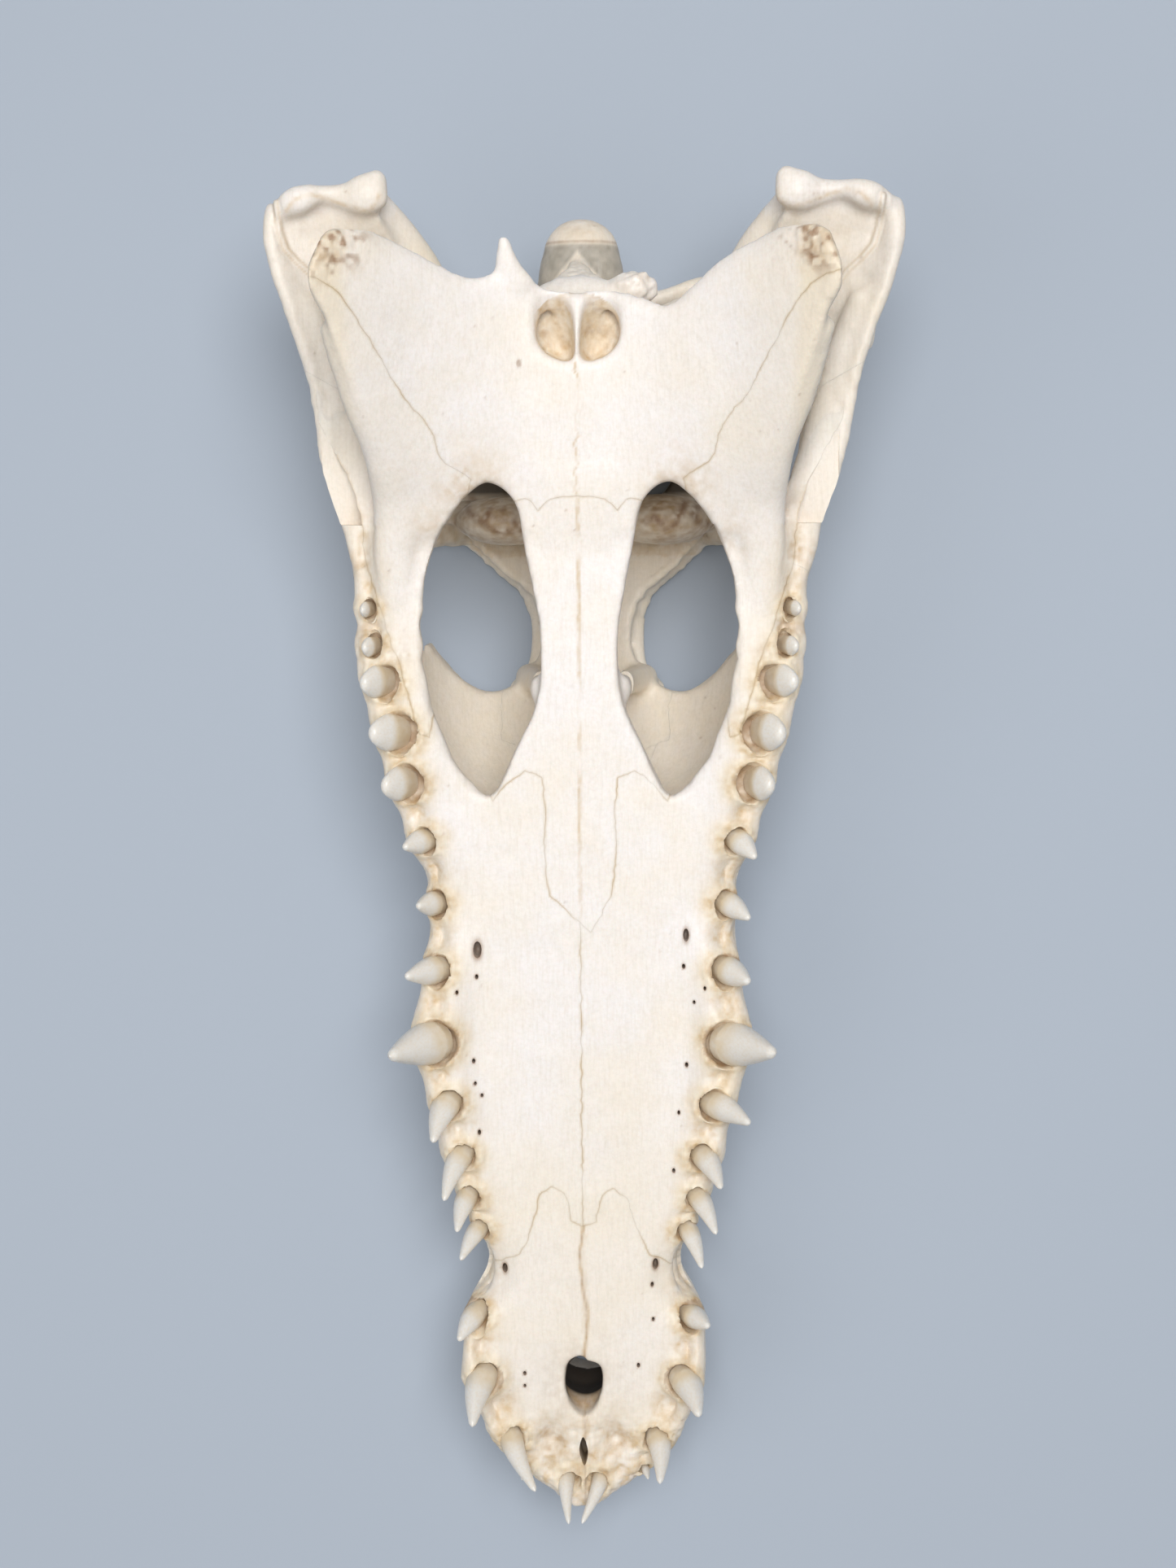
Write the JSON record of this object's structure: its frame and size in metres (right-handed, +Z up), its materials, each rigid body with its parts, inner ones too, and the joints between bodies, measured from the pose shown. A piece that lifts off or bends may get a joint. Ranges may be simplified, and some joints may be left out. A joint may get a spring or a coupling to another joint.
{
  "type": "crocodile skull",
  "caption": "Upper skull of a crocodile with its teeth, without the lower jaw, resting on its roof with the palate up.",
  "frame": {"origin": "middle of the bounding box's bottom face, on the surface that the skull rests on", "axes": "+Z up, +Y from the tip of the snout to the back of the skull, +X to the right in the view from above"},
  "size_m": [0.1844, 0.399, 0.1359],
  "materials": {
    "bone_white": null,
    "bone_cream": null,
    "enamel": null
  },
  "bodies": {
    "root": {"braincase": "bone_cream", "ectopterygoid_left": "bone_cream", "ectopterygoid_right": "bone_cream", "frontal": "bone_white", "jugal_left": "bone_cream", "jugal_right": "bone_cream", "lacrimal_left": "bone_white", "lacrimal_right": "bone_white", "maxilla_left": "bone_white", "maxilla_right": "bone_white", "nasals": "bone_white", "palatines": "bone_white", "premaxillae": "bone_white", "pterygoids": "bone_white", "quadrate_left": "bone_cream", "quadrate_right": "bone_cream", "skull_table": "bone_white"}
  },
  "joints": []
}
